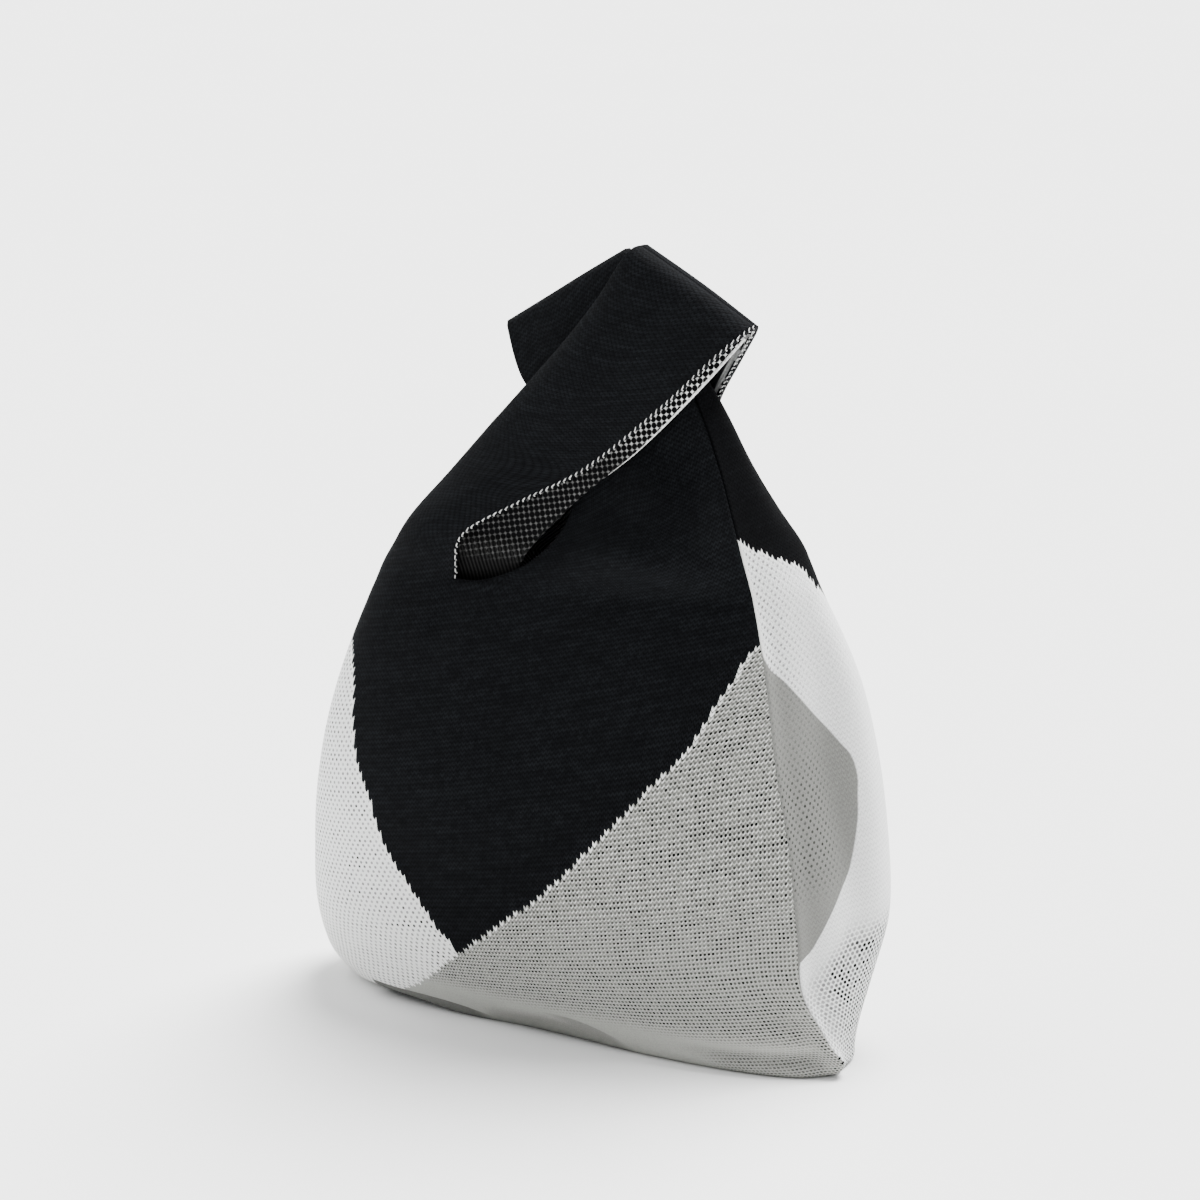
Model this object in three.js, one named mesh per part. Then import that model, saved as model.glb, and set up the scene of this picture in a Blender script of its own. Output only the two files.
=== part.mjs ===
// Knitted knot bag: two knitted panels linked at the sides and bottom, with two wide
// shoulder straps. The right strap's loop is threaded through the left strap's loop.
// Millimetres. X runs from the left seam to the right, the front faces -Y, +Z is up.
import * as THREE from "three";

// Cloth and clearances
const FABRIC = 2.0; // thickness of the double-bed knit
const FACING_FABRIC = 1.6; // thickness of the strap's turned-under layer
const GAP = 0.3; // clearance between pieces that touch on the real bag
const THREAD_RADIUS = 0.9; // linking yarn that joins two selvedges
const SIDE_SEAM_GAP = 0.6; // the yarn's clearance inside the curved panels
const TACK_RADIUS = 1.4; // the wraps of thread at a bottom corner
const TACK_WAVE = 0.12;
const TACK_WRAPS = 4;
const TACK_LENGTH = 6;
const TACK_HEIGHT = 5; // the tack's middle above the floor

// Body
const SHOULDER_HEIGHT = 148; // from the floor to the line where the straps begin
const CREASE_HEIGHT = 3; // how far the right side's fold stands proud
const CREASE_WIDTH = 4.5; // degrees round the body
const DENT_DEPTH = 7; // how far the right side is pushed in behind the fold
const DENT_ANGLE = 25; // degrees round the body from the fold to the dent's middle
const DENT_WIDTH = 12; // degrees
const CREASE_START = 0.02; // share of the shoulder height where the fold begins
const CREASE_END = 1.12; // and where it fades out, above the shoulder line
const EAR_GAP = 2.2; // the panels stop this far from the corner, where the tack sits
const EAR_TOP = 9; // height at which the panels' edges meet again

// Where the straps' rails meet the shoulder line, in degrees round the body
const MOUTH_FRONT_LEFT = -122;
const LEFT_CENTRE_FRONT = -140;
const LEFT_OUTER_FRONT = -172;
const LEFT_CENTRE_BACK = 118;
const MOUTH_BACK_LEFT = 97;
const MOUTH_FRONT_RIGHT = -108;
const RIGHT_CENTRE_FRONT = -78;
const RIGHT_SIDE_FRONT = -60;
const RIGHT_BEHIND_SEAM = 28; // from the right seam's angle to the outer rail's back end
const RIGHT_SIDE_BACK = 18;
const RIGHT_CENTRE_BACK = 45;
const MOUTH_BACK_RIGHT = 60;

// The body's outline at each height: share of the shoulder height, half width, half depth,
// turn about Z in degrees, centre x and y, squareness of the oval, right seam's angle
const SECTIONS = [
  { share: 0.0, width: 90.5, depth: 22.5, turn: 2, x: 2.5, y: -2.5, square: 3.2, seam: -7 },
  { share: 0.008, width: 92.5, depth: 24.5, turn: 2, x: 2, y: -2, square: 3.2, seam: -8 },
  { share: 0.03, width: 95, depth: 27.5, turn: 2, x: -1, y: -1, square: 3.0, seam: -10 },
  { share: 0.068, width: 98.5, depth: 30.5, turn: 2.5, x: -4.8, y: 1, square: 2.8, seam: -14 },
  { share: 0.17, width: 102.2, depth: 34, turn: 5, x: -7.5, y: 5, square: 2.5, seam: -32 },
  { share: 0.304, width: 103, depth: 36, turn: 9, x: -5.8, y: 8, square: 2.38, seam: -42 },
  { share: 0.473, width: 99.3, depth: 38, turn: 13, x: -5.7, y: 10, square: 2.4, seam: -45.5 },
  { share: 0.642, width: 94, depth: 37, turn: 15, x: -6.5, y: 12, square: 2.4, seam: -47 },
  { share: 0.811, width: 86.5, depth: 33.5, turn: 16, x: -6.9, y: 13, square: 2.3, seam: -46 },
  { share: 1.0, width: 74.5, depth: 28.5, turn: 16, x: -8.2, y: 14, square: 2.2, seam: -41.5 },
];
// Heights of the panels' rows as shares, and the steps across a panel
const BODY_ROWS = [0.004, 0.012, 0.03, 0.06, 0.11, 0.18, 0.27, 0.37, 0.48, 0.6, 0.72, 0.84, 0.93, 1.0];
const UNDERSIDE_ROWS = [-1.0, -0.5, 0.0]; // from the bottom fold out to the floor's outline
const PANEL_COLUMNS = 32;

// Straps: [x, y, height above the shoulder line], from the shoulder up the front, over the
// fold at the top, and down the back. The first and last places lie on the body's outline.
const LEFT_INNER = [
  [-37.6, -21, 15], [-18, -18, 27.5], [6, -14.5, 41], [32.1, -10, 63], [45.5, -5, 77], [53.3, 0.5, 85],
  [54.7, 6, 87.2],
  [52, 12, 85], [43, 18, 74.5], [31.5, 25, 60], [23.5, 32.5, 46], [14, 38, 30], [0, 42, 17],
];
const LEFT_CENTRE = [
  [-54, -20.5, 16], [-36, -17.5, 31], [-13, -13.5, 48], [10, -9.5, 67], [24, -5, 83.5], [32.8, 0.5, 95.8],
  [34.4, 6, 98.2],
  [32.8, 13, 95.8], [27, 21, 80], [15, 27.5, 62], [-2, 34, 46], [-18, 34, 30], [-30, 33, 17],
];
const LEFT_OUTER = [
  [-65, -10.5, 16], [-50.3, -8, 32.8], [-31, -6, 54], [-11, -3.5, 76], [1.7, -0.5, 92.5], [10.8, 1.5, 107],
  [12.4, 6.5, 109.2],
  [11.6, 12.5, 107], [2, 20, 91], [-13, 23.5, 72], [-31, 17, 54], [-48, 13, 33], [-58, 13, 16],
];
const RIGHT_INNER = [
  [-9.5, -12, 13], [-4, -7, 25.5], [-6, -3, 40], [-14, 0.5, 52], [-30, 4, 63], [-38, 7, 78.5],
  [-39.2, 10.2, 80.3],
  [-38, 13, 78.5], [-29, 11, 66], [-15, 15, 55], [-1, 23, 40], [8, 34, 24], [14, 42, 12],
];
const RIGHT_CENTRE = [
  [22, -15, 12.5], [24, -7.5, 25], [17, -2.5, 40], [2, 1, 54], [-13, 4, 72], [-22.7, 7, 87.5],
  [-24, 10.2, 89.4],
  [-23, 13.5, 87.5], [-13, 14.5, 72], [1, 18.5, 56], [14, 26, 40], [24, 37, 24], [30, 45, 12],
];
const RIGHT_SIDE = [
  [37, -6, 12], [36, -2, 24.5], [30, 2.5, 40.5], [19, 4, 57], [4, 5.5, 79], [-7.5, 7.2, 96.5],
  [-8.5, 10.3, 98.5],
  [-7.5, 14, 96.5], [8, 17, 80], [26, 21, 58.5], [35, 29, 40], [44, 36, 24], [50, 41, 12],
];
const RIGHT_OUTER = [
  [49, 9.5, 12], [45, 10, 24], [40, 10, 40.7], [33.6, 9, 58.4], [19.5, 8, 84], [7.8, 7.2, 104.8],
  [6.6, 10.3, 107.4],
  [6.3, 13.4, 104], [21, 14.5, 82], [36, 17.5, 59], [43.5, 22.5, 40], [50, 27, 24], [55.5, 32, 12],
];
const ROOT_LEVEL = 3; // the straps bend below this place along their length
const STRAP_TOP = 7; // the place where each strap folds over
const HALF_ROWS = 16; // steps along half a loop
const HALF_COLUMNS = 12; // and across it
const ROOT_ROWS = 8; // steps up a root
const ROOT_COLUMNS = 32; // and round it
const FACING_ROWS = 24; // steps along the turned-under layer
const FACING_COLUMNS = 3; // and across it

// The left strap's turned-under layer, from the mouth's corner up to the fold
const FACING_EDGE = [
  [-38, -20, 5.5], [-18, -13.5, 10], [0.3, -10.5, 29.4], [21.8, -7.5, 46.9], [41.8, -2.5, 68.2], [52.5, 2.5, 81],
];
const FACING_HIDDEN = [
  [-45, -17.5, 11], [-32, -13.5, 24], [-12, -10.5, 40], [6, -7, 58], [21, -2.5, 77], [31, 3, 91],
];

const UP = new THREE.Vector3(0, 0, 1);
const radians = THREE.MathUtils.degToRad;

// A smooth value from a table of rows, by Hermite curves through its rows
function smoothValue(rows, share, key) {
  const last = rows.length - 1;
  let k = 0;
  while (k < last - 1 && rows[k + 1].share < share) k += 1;
  const slope = (i) => {
    const low = rows[Math.max(i - 1, 0)];
    const high = rows[Math.min(i + 1, last)];
    return (high[key] - low[key]) / (high.share - low.share);
  };
  const span = rows[k + 1].share - rows[k].share;
  const t = THREE.MathUtils.clamp((share - rows[k].share) / span, 0, 1);
  const t2 = t * t;
  const t3 = t2 * t;
  return (2 * t3 - 3 * t2 + 1) * rows[k][key] + (t3 - 2 * t2 + t) * span * slope(k)
    + (3 * t2 - 2 * t3) * rows[k + 1][key] + (t3 - t2) * span * slope(k + 1);
}

const signedPower = (value, power) => Math.sign(value) * Math.abs(value) ** power;
const bump = (value, width) => Math.exp(-((value / width) ** 2));
const seamAngle = (share) => smoothValue(SECTIONS, share, "seam");

// The plain oval of the body at a height and an angle round it
function ovalPoint(share, angle) {
  const at = (key) => smoothValue(SECTIONS, share, key);
  const power = 2 / at("square");
  const a = radians(angle);
  const p = at("width") * signedPower(Math.cos(a), power);
  const q = at("depth") * signedPower(Math.sin(a), power);
  const turn = radians(at("turn"));
  return new THREE.Vector3(
    at("x") + p * Math.cos(turn) - q * Math.sin(turn),
    at("y") + p * Math.sin(turn) + q * Math.cos(turn),
    share * SHOULDER_HEIGHT,
  );
}

// The oval with the right side's fold and the dent behind it
function bodyPoint(share, angle) {
  const step = 0.5;
  const point = ovalPoint(share, angle);
  const along = ovalPoint(share, angle + step).sub(ovalPoint(share, angle - step));
  const outward = new THREE.Vector3(along.y, -along.x, 0).normalize();
  let past = angle - seamAngle(share);
  past -= 360 * Math.round(past / 360);
  const rise = Math.sin(Math.PI * THREE.MathUtils.clamp((share - CREASE_START) / (CREASE_END - CREASE_START), 0, 1));
  const fold = CREASE_HEIGHT * bump(past, CREASE_WIDTH) * rise;
  const dent = DENT_DEPTH * bump(past - DENT_ANGLE, DENT_WIDTH) * rise * rise;
  return point.addScaledVector(outward, fold - dent);
}

// A thin closed solid between a grid of places moved outwards and the same grid moved inwards.
// A level start keeps the first row's thickness horizontal, to meet the shoulder line squarely.
function sheet(rows, columns, place, thickness, levelStart = false) {
  const step = 1e-3;
  const positions = [];
  const layer = (offset) => {
    for (let j = 0; j <= rows; j += 1) {
      for (let i = 0; i <= columns; i += 1) {
        const s = i / columns;
        const t = j / rows;
        const ds = place(Math.min(s + step, 1), t).sub(place(Math.max(s - step, 0), t));
        const dt = place(s, Math.min(t + step, 1)).sub(place(s, Math.max(t - step, 0)));
        const normal = ds.cross(dt);
        if (levelStart && j === 0) normal.z = 0;
        positions.push(...place(s, t).addScaledVector(normal.normalize(), offset).toArray());
      }
    }
  };
  layer(thickness / 2);
  layer(-thickness / 2);
  return closedGrid(positions, rows, columns);
}

// Joins two grids of the same size, one after the other in the list, into one closed mesh
function closedGrid(positions, rows, columns) {
  const wide = columns + 1;
  const inner = wide * (rows + 1);
  const indices = [];
  const quad = (a, b, c, d) => indices.push(a, b, c, a, c, d);
  for (let j = 0; j < rows; j += 1) {
    for (let i = 0; i < columns; i += 1) {
      const k = j * wide + i;
      quad(k, k + 1, k + wide + 1, k + wide);
      quad(inner + k, inner + k + wide, inner + k + wide + 1, inner + k + 1);
    }
  }
  const top = rows * wide;
  for (let i = 0; i < columns; i += 1) {
    quad(i + 1, i, inner + i, inner + i + 1);
    quad(top + i, top + i + 1, inner + top + i + 1, inner + top + i);
  }
  for (let j = 0; j < rows; j += 1) {
    const k = j * wide;
    quad(k, k + wide, inner + k + wide, inner + k);
    quad(k + columns + wide, k + columns, inner + k + columns, inner + k + columns + wide);
  }
  const geometry = new THREE.BufferGeometry();
  geometry.setAttribute("position", new THREE.Float32BufferAttribute(positions, 3));
  geometry.setIndex(signedVolume(positions, indices) < 0 ? indices.reverse() : indices);
  return geometry;
}

function signedVolume(positions, indices) {
  const corner = (k) => new THREE.Vector3().fromArray(positions, 3 * indices[k]);
  let volume = 0;
  for (let k = 0; k < indices.length; k += 3) {
    volume += corner(k).dot(corner(k + 1).cross(corner(k + 2)));
  }
  return volume;
}

// Body panels

// The panels' edges stand back from the seam's line, and further where the corner tack sits
function seamClearance(share) {
  const low = THREE.MathUtils.clamp(1 - (share * SHOULDER_HEIGHT) / EAR_TOP, 0, 1);
  return GAP / 2 + EAR_GAP * low * low;
}

// The angle at a share of the way across a panel that starts at one seam and ends at the other
function panelAngle(share, across, first) {
  const start = seamAngle(share) + first;
  const speed = (angle) => bodyPoint(share, angle + 0.5).distanceTo(bodyPoint(share, angle - 0.5));
  const from = start + seamClearance(share) / speed(start);
  const to = start + 180 - seamClearance(share) / speed(start + 180);
  return THREE.MathUtils.lerp(from, to, across);
}

// A place on the panel's outer face: up the side, or along the underside to the bottom fold
function panelPlace(row, across, first, foldSide) {
  if (row > 0) return bodyPoint(row, panelAngle(row, across, first));
  const rim = bodyPoint(0, panelAngle(0, across, first));
  const left = bodyPoint(0, seamAngle(0) + 180);
  const right = bodyPoint(0, seamAngle(0));
  const middle = THREE.MathUtils.mapLinear(rim.x, left.x, right.x, left.y, right.y);
  const fold = new THREE.Vector3(rim.x, middle + (foldSide * GAP) / 2, 0);
  return fold.lerp(rim, 1 + row);
}

function panelGeometry(first, foldSide) {
  const rows = [...UNDERSIDE_ROWS, ...BODY_ROWS];
  const positions = [];
  const inward = [];
  const step = 1e-3;
  rows.forEach((row, j) => {
    const below = rows[Math.max(j - 1, 0)];
    const above = rows[Math.min(j + 1, rows.length - 1)];
    for (let i = 0; i <= PANEL_COLUMNS; i += 1) {
      const across = i / PANEL_COLUMNS;
      const point = panelPlace(row, across, first, foldSide);
      const ahead = panelPlace(row, Math.min(across + step, 1), first, foldSide);
      const behind = panelPlace(row, Math.max(across - step, 0), first, foldSide);
      const upward = panelPlace(above, across, first, foldSide).sub(panelPlace(below, across, first, foldSide));
      const normal = row < 0 ? UP.clone().negate() : ahead.sub(behind).cross(upward).normalize();
      positions.push(...point.toArray());
      const inside = point.clone().addScaledVector(normal, -FABRIC);
      inside.z = Math.max(inside.z, Math.min(FABRIC, point.z + FABRIC));
      inward.push(...inside.toArray());
    }
  });
  return closedGrid([...positions, ...inward], rows.length - 1, PANEL_COLUMNS);
}

// Straps

// A rail's places: its first and last lie on the body's outline at the shoulder line
function rail(places, firstAngle, lastAngle) {
  const lift = (angle) => {
    const point = bodyPoint(1, angle);
    const along = bodyPoint(1, angle + 0.5).sub(bodyPoint(1, angle - 0.5));
    const inward = new THREE.Vector3(-along.y, along.x, 0).normalize();
    return point.addScaledVector(inward, FABRIC / 2).addScaledVector(UP, GAP);
  };
  const points = places.map(([x, y, up]) => new THREE.Vector3(x, y, SHOULDER_HEIGHT + up));
  return new THREE.CatmullRomCurve3([lift(firstAngle), ...points, lift(lastAngle)], false, "catmullrom", 0.5);
}

const shoulderSeam = seamAngle(1);
const LEFT_RAILS = [
  rail(LEFT_INNER, MOUTH_FRONT_LEFT, MOUTH_BACK_LEFT),
  rail(LEFT_CENTRE, LEFT_CENTRE_FRONT, LEFT_CENTRE_BACK),
  rail(LEFT_OUTER, LEFT_OUTER_FRONT, shoulderSeam + 180),
];
const RIGHT_RAILS = [
  rail(RIGHT_INNER, MOUTH_FRONT_RIGHT, MOUTH_BACK_RIGHT),
  rail(RIGHT_CENTRE, RIGHT_CENTRE_FRONT, RIGHT_CENTRE_BACK),
  rail(RIGHT_SIDE, RIGHT_SIDE_FRONT, RIGHT_SIDE_BACK),
  rail(RIGHT_OUTER, shoulderSeam, shoulderSeam + RIGHT_BEHIND_SEAM),
];
const RAIL_SPANS = LEFT_INNER.length + 1;

// A place on a smooth cross curve through several points
const across = (points, s) => new THREE.CatmullRomCurve3(points, false, "catmullrom", 0.5).getPoint(s);

// One half of a strap's loop, from one place along its length to another
function strapHalf(rails, from, to) {
  const place = (s, t) => {
    const along = THREE.MathUtils.lerp(from, to, t) / RAIL_SPANS;
    return across(rails.map((curve) => curve.getPoint(along)), s);
  };
  return sheet(HALF_ROWS, HALF_COLUMNS, place, FABRIC);
}

// A strap's root: front, side and back in one piece of cloth, below the place where it bends
function strapRoot(rails, to) {
  const place = (s, t) => {
    const along = (to * t) / RAIL_SPANS;
    const front = rails.map((curve) => curve.getPoint(along));
    const back = rails.map((curve) => curve.getPoint(1 - along)).reverse();
    return across([...front, ...back], s);
  };
  return sheet(ROOT_ROWS, ROOT_COLUMNS, place, FABRIC, true);
}

// Half of the clearance at a cut, as a share of the way from one place on the rails to the next
function cutShare(rails, at) {
  const middle = rails[1];
  const length = middle.getPoint((at + 0.5) / RAIL_SPANS).distanceTo(middle.getPoint((at - 0.5) / RAIL_SPANS));
  return GAP / 2 / length;
}

function facingGeometry() {
  const curve = (places) => new THREE.CatmullRomCurve3(
    places.map(([x, y, up]) => new THREE.Vector3(x, y, SHOULDER_HEIGHT + up)), false, "catmullrom", 0.5);
  const edge = curve(FACING_EDGE);
  const hidden = curve(FACING_HIDDEN);
  const place = (s, t) => edge.getPoint(t).lerp(hidden.getPoint(t), s);
  return sheet(FACING_ROWS, FACING_COLUMNS, place, FACING_FABRIC);
}

// Seams: linking yarn on the inside, and a tack at each bottom corner
const SIDE_SEAM_SHARES = [0.11, 0.18, 0.27, 0.37, 0.48, 0.6, 0.72, 0.84, 0.96];
const BOTTOM_SEAM_SHARES = [0.1, 0.3, 0.5, 0.7, 0.9];
const STRAP_SEAM_SHARES = [0.06, 0.3, 0.5, 0.7, 0.94];
const SIDE_SEAM_STEPS = 40;
const BOTTOM_SEAM_STEPS = 24;
const STRAP_SEAM_STEPS = 12;

function threadGeometry(points, steps) {
  const path = new THREE.CatmullRomCurve3(points, false, "catmullrom", 0.5);
  const section = new THREE.Shape();
  section.absarc(0, 0, THREAD_RADIUS, 0, 2 * Math.PI, false);
  return new THREE.ExtrudeGeometry(section, { steps, extrudePath: path, curveSegments: 4 });
}

function sideSeamPoints(offset) {
  const inset = FABRIC + SIDE_SEAM_GAP + THREAD_RADIUS;
  return SIDE_SEAM_SHARES.map((share) => {
    const angle = seamAngle(share) + offset;
    const along = bodyPoint(share, angle + 0.5).sub(bodyPoint(share, angle - 0.5));
    const inward = new THREE.Vector3(-along.y, along.x, 0).normalize();
    return bodyPoint(share, angle).addScaledVector(inward, inset);
  });
}

function bottomSeamPoints() {
  const left = bodyPoint(0, seamAngle(0) + 180);
  const right = bodyPoint(0, seamAngle(0));
  const lift = FABRIC + GAP + THREAD_RADIUS;
  return BOTTOM_SEAM_SHARES.map((share) => left.clone().lerp(right, share).setZ(lift));
}

function strapSeamPoints(rails) {
  const drop = FABRIC / 2 + GAP + THREAD_RADIUS;
  const tops = rails.map((curve) => curve.getPoint(STRAP_TOP / RAIL_SPANS));
  const ends = tops[tops.length - 1].clone().sub(tops[0]).normalize();
  const below = new THREE.Vector3(ends.z, 0, -ends.x).normalize();
  if (below.z > 0) below.negate();
  return STRAP_SEAM_SHARES.map((s) => across(tops, s).addScaledVector(below, drop));
}

// Wraps of thread round a bottom corner: a barrel with a wave for each wrap, along the seam's end
function tackGeometry(angleOffset) {
  const profile = [new THREE.Vector2(0, -TACK_LENGTH / 2)];
  for (let k = 0; k <= 4 * TACK_WRAPS; k += 1) {
    const share = k / (4 * TACK_WRAPS);
    const radius = TACK_RADIUS - TACK_WAVE * (1 + Math.cos(2 * Math.PI * TACK_WRAPS * share));
    profile.push(new THREE.Vector2(radius, TACK_LENGTH * (share - 0.5)));
  }
  profile.push(new THREE.Vector2(0, TACK_LENGTH / 2));
  const barrel = new THREE.LatheGeometry(profile, 12);
  const seamPoint = (share) => bodyPoint(share, seamAngle(share) + angleOffset);
  const share = TACK_HEIGHT / SHOULDER_HEIGHT;
  const along = seamPoint(share * 1.5).sub(seamPoint(share * 0.5)).normalize();
  const round = bodyPoint(share, seamAngle(share) + angleOffset + 0.5).sub(
    bodyPoint(share, seamAngle(share) + angleOffset - 0.5));
  const outward = round.cross(along).normalize();
  const centre = seamPoint(share).addScaledVector(outward, TACK_RADIUS + GAP);
  barrel.applyQuaternion(new THREE.Quaternion().setFromUnitVectors(new THREE.Vector3(0, 1, 0), along));
  return barrel.translate(centre.x, centre.y, centre.z);
}

// The pieces
const bag = new THREE.Group();

function addPiece(name, geometry, color, roughness) {
  const mesh = new THREE.Mesh(geometry, new THREE.MeshStandardMaterial({ color, roughness, metalness: 0 }));
  mesh.name = name;
  bag.add(mesh);
}

const BLACK = 0x0d0e10;
const WHITE = 0xdcdedd;
const GREY = 0xa3a39e;
const leftRootCut = cutShare(LEFT_RAILS, ROOT_LEVEL);
const rightRootCut = cutShare(RIGHT_RAILS, ROOT_LEVEL);
const leftTopCut = cutShare(LEFT_RAILS, STRAP_TOP);
const rightTopCut = cutShare(RIGHT_RAILS, STRAP_TOP);

addPiece("front_panel", panelGeometry(-180, -1), GREY, 0.9);
addPiece("back_panel", panelGeometry(0, 1), WHITE, 0.9);
addPiece("left_strap_root", strapRoot(LEFT_RAILS, ROOT_LEVEL - leftRootCut), BLACK, 0.85);
addPiece("right_strap_root", strapRoot(RIGHT_RAILS, ROOT_LEVEL - rightRootCut), BLACK, 0.85);
addPiece("left_strap_front", strapHalf(LEFT_RAILS, ROOT_LEVEL + leftRootCut, STRAP_TOP - leftTopCut), BLACK, 0.85);
addPiece("left_strap_back",
  strapHalf(LEFT_RAILS, STRAP_TOP + leftTopCut, RAIL_SPANS - ROOT_LEVEL - leftRootCut), BLACK, 0.85);
addPiece("right_strap_front",
  strapHalf(RIGHT_RAILS, ROOT_LEVEL + rightRootCut, STRAP_TOP - rightTopCut), BLACK, 0.85);
addPiece("right_strap_back",
  strapHalf(RIGHT_RAILS, STRAP_TOP + rightTopCut, RAIL_SPANS - ROOT_LEVEL - rightRootCut), BLACK, 0.85);
addPiece("left_strap_facing", facingGeometry(), WHITE, 0.9);
addPiece("left_side_seam", threadGeometry(sideSeamPoints(180), SIDE_SEAM_STEPS), WHITE, 0.9);
addPiece("right_side_seam", threadGeometry(sideSeamPoints(0), SIDE_SEAM_STEPS), GREY, 0.9);
addPiece("bottom_seam", threadGeometry(bottomSeamPoints(), BOTTOM_SEAM_STEPS), GREY, 0.9);
addPiece("left_strap_seam", threadGeometry(strapSeamPoints(LEFT_RAILS), STRAP_SEAM_STEPS), BLACK, 0.85);
addPiece("right_strap_seam", threadGeometry(strapSeamPoints(RIGHT_RAILS), STRAP_SEAM_STEPS), BLACK, 0.85);
addPiece("left_corner_tack", tackGeometry(180), WHITE, 0.9);
addPiece("right_corner_tack", tackGeometry(0), GREY, 0.9);

// The origin is under the middle of the bag, on the surface it stands on
const box = new THREE.Box3().setFromObject(bag);
const middle = box.getCenter(new THREE.Vector3());
bag.position.set(-middle.x, -middle.y, -box.min.z);

export default bag;
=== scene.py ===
import math

import bmesh
import bpy
import numpy as np
from mathutils import Matrix, Vector


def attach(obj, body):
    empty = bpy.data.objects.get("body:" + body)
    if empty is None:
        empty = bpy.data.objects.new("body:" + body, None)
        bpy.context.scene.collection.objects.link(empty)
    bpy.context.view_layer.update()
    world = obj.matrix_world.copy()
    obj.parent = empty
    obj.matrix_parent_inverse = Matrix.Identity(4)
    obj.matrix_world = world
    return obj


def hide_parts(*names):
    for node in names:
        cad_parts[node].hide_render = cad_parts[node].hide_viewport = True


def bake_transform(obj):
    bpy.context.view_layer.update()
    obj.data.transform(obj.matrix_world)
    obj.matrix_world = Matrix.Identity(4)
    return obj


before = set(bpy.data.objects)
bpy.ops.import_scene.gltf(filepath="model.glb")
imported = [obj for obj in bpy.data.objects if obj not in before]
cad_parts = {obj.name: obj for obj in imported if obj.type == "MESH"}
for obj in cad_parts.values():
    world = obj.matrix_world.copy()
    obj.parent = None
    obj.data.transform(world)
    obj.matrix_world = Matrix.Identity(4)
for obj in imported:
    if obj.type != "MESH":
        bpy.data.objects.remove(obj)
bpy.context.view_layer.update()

MM = 0.001

# The bag's shape

# From the pattern's own origin to the middle of the bag's box
SHIFT = np.array([6.46, -11.03, 0.0])

FABRIC = 2.0
SHOULDER_HEIGHT = 148.0

# The fold along the right seam, sharper on its back, and the dent behind it
CREASE_HEIGHT = 3.3
CREASE_FRONT_WIDTH = 7.0
CREASE_BACK_WIDTH = 2.4
DENT_DEPTH = 7.5
DENT_ANGLE = 22.0
DENT_WIDTH = 12.0
CREASE_START = 0.02
CREASE_END = 1.12

# The bottom's right corner stands out like an ear
EAR_OUT = 4.6
EAR_HEIGHT = 5.0
EAR_SPREAD = 4.2
EAR_WIDTH = 5.5

# The fold in the front beside the mouth, which leans with the height and fades out downwards
PLEAT_DEPTH = 1.3
PLEAT_ANGLE = -79
PLEAT_LEAN = 16
PLEAT_WIDTH = 4.5
PLEAT_START = 0.72

# Spans give where a form starts, is full, starts to fade and ends: the crease in shares of the
# shoulder height, and the others in degrees past the right seam
CREASE_SPAN = (0.0, 0.1, 0.85, CREASE_END)
FRONT_SPAN = (-179, -170, -9, -2)
RIDGE_SPAN = (-62, -46, -14, -5)
LEFT_TUCK_SPAN = (-160, -142, -114, -98)

# The forms low on the front: a ridge and the hollow below it as (depth, height, spread), tucks as
# (depth, height where full, height where gone), and swells as (angle, width, their form)
RIDGE = (1.3, 12.5, 3.6)
RIDGE_HOLLOW = (2.3, 6.2, 2.3)
ARCH_ANGLE = -85
ARCH_WIDTH = 6.5
ARCH_TUCK = (1.8, 1, 9)
LEFT_TUCK = (2.4, 0.2, 3.6)
SWELLS = ((-60, 34, (0.9, 14, 5)), (-112, 16, (1.1, 6, 3)))

# Soft waves all over the cloth, each with its size, its waves round and up the body, and its start
WAVES = ((0.5, 3, 9, 0), (0.35, 7, -6, 1), (0.3, 2, 11, 0))
WAVES_DEPTH = 0.55
WAVES_RISE = (0.03, 0.2)

# The body's outline at each height: share of the shoulder height, half width, half depth,
# turn about Z in degrees, centre x and y, squareness of the oval, right seam's angle
SHARE, WIDTH, DEPTH, TURN, CENTRE_X, CENTRE_Y, SQUARE, SEAM = range(8)
SECTIONS = np.array([
    (0.0, 90.5, 22.5, 2, 2.5, -2.5, 3.2, -7),
    (0.008, 92.5, 24.5, 2, 2, -2, 3.2, -8),
    (0.03, 95, 27.5, 2, -1, -1, 3.0, -8.5),
    (0.068, 98.5, 30.5, 2.5, -4.8, 1, 2.8, -15.5),
    (0.17, 102.2, 34, 5, -7.5, 5, 2.5, -32),
    (0.304, 103, 36, 9, -5.8, 8, 2.38, -40.5),
    (0.473, 99.3, 38, 13, -5.7, 10, 2.4, -44.5),
    (0.642, 94, 37, 15, -6.5, 12, 2.4, -47),
    (0.811, 86.5, 33.5, 16, -6.9, 13, 2.3, -46),
    (1.0, 74.5, 28.5, 16, -8.2, 14, 2.2, -41.5),
])

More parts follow.
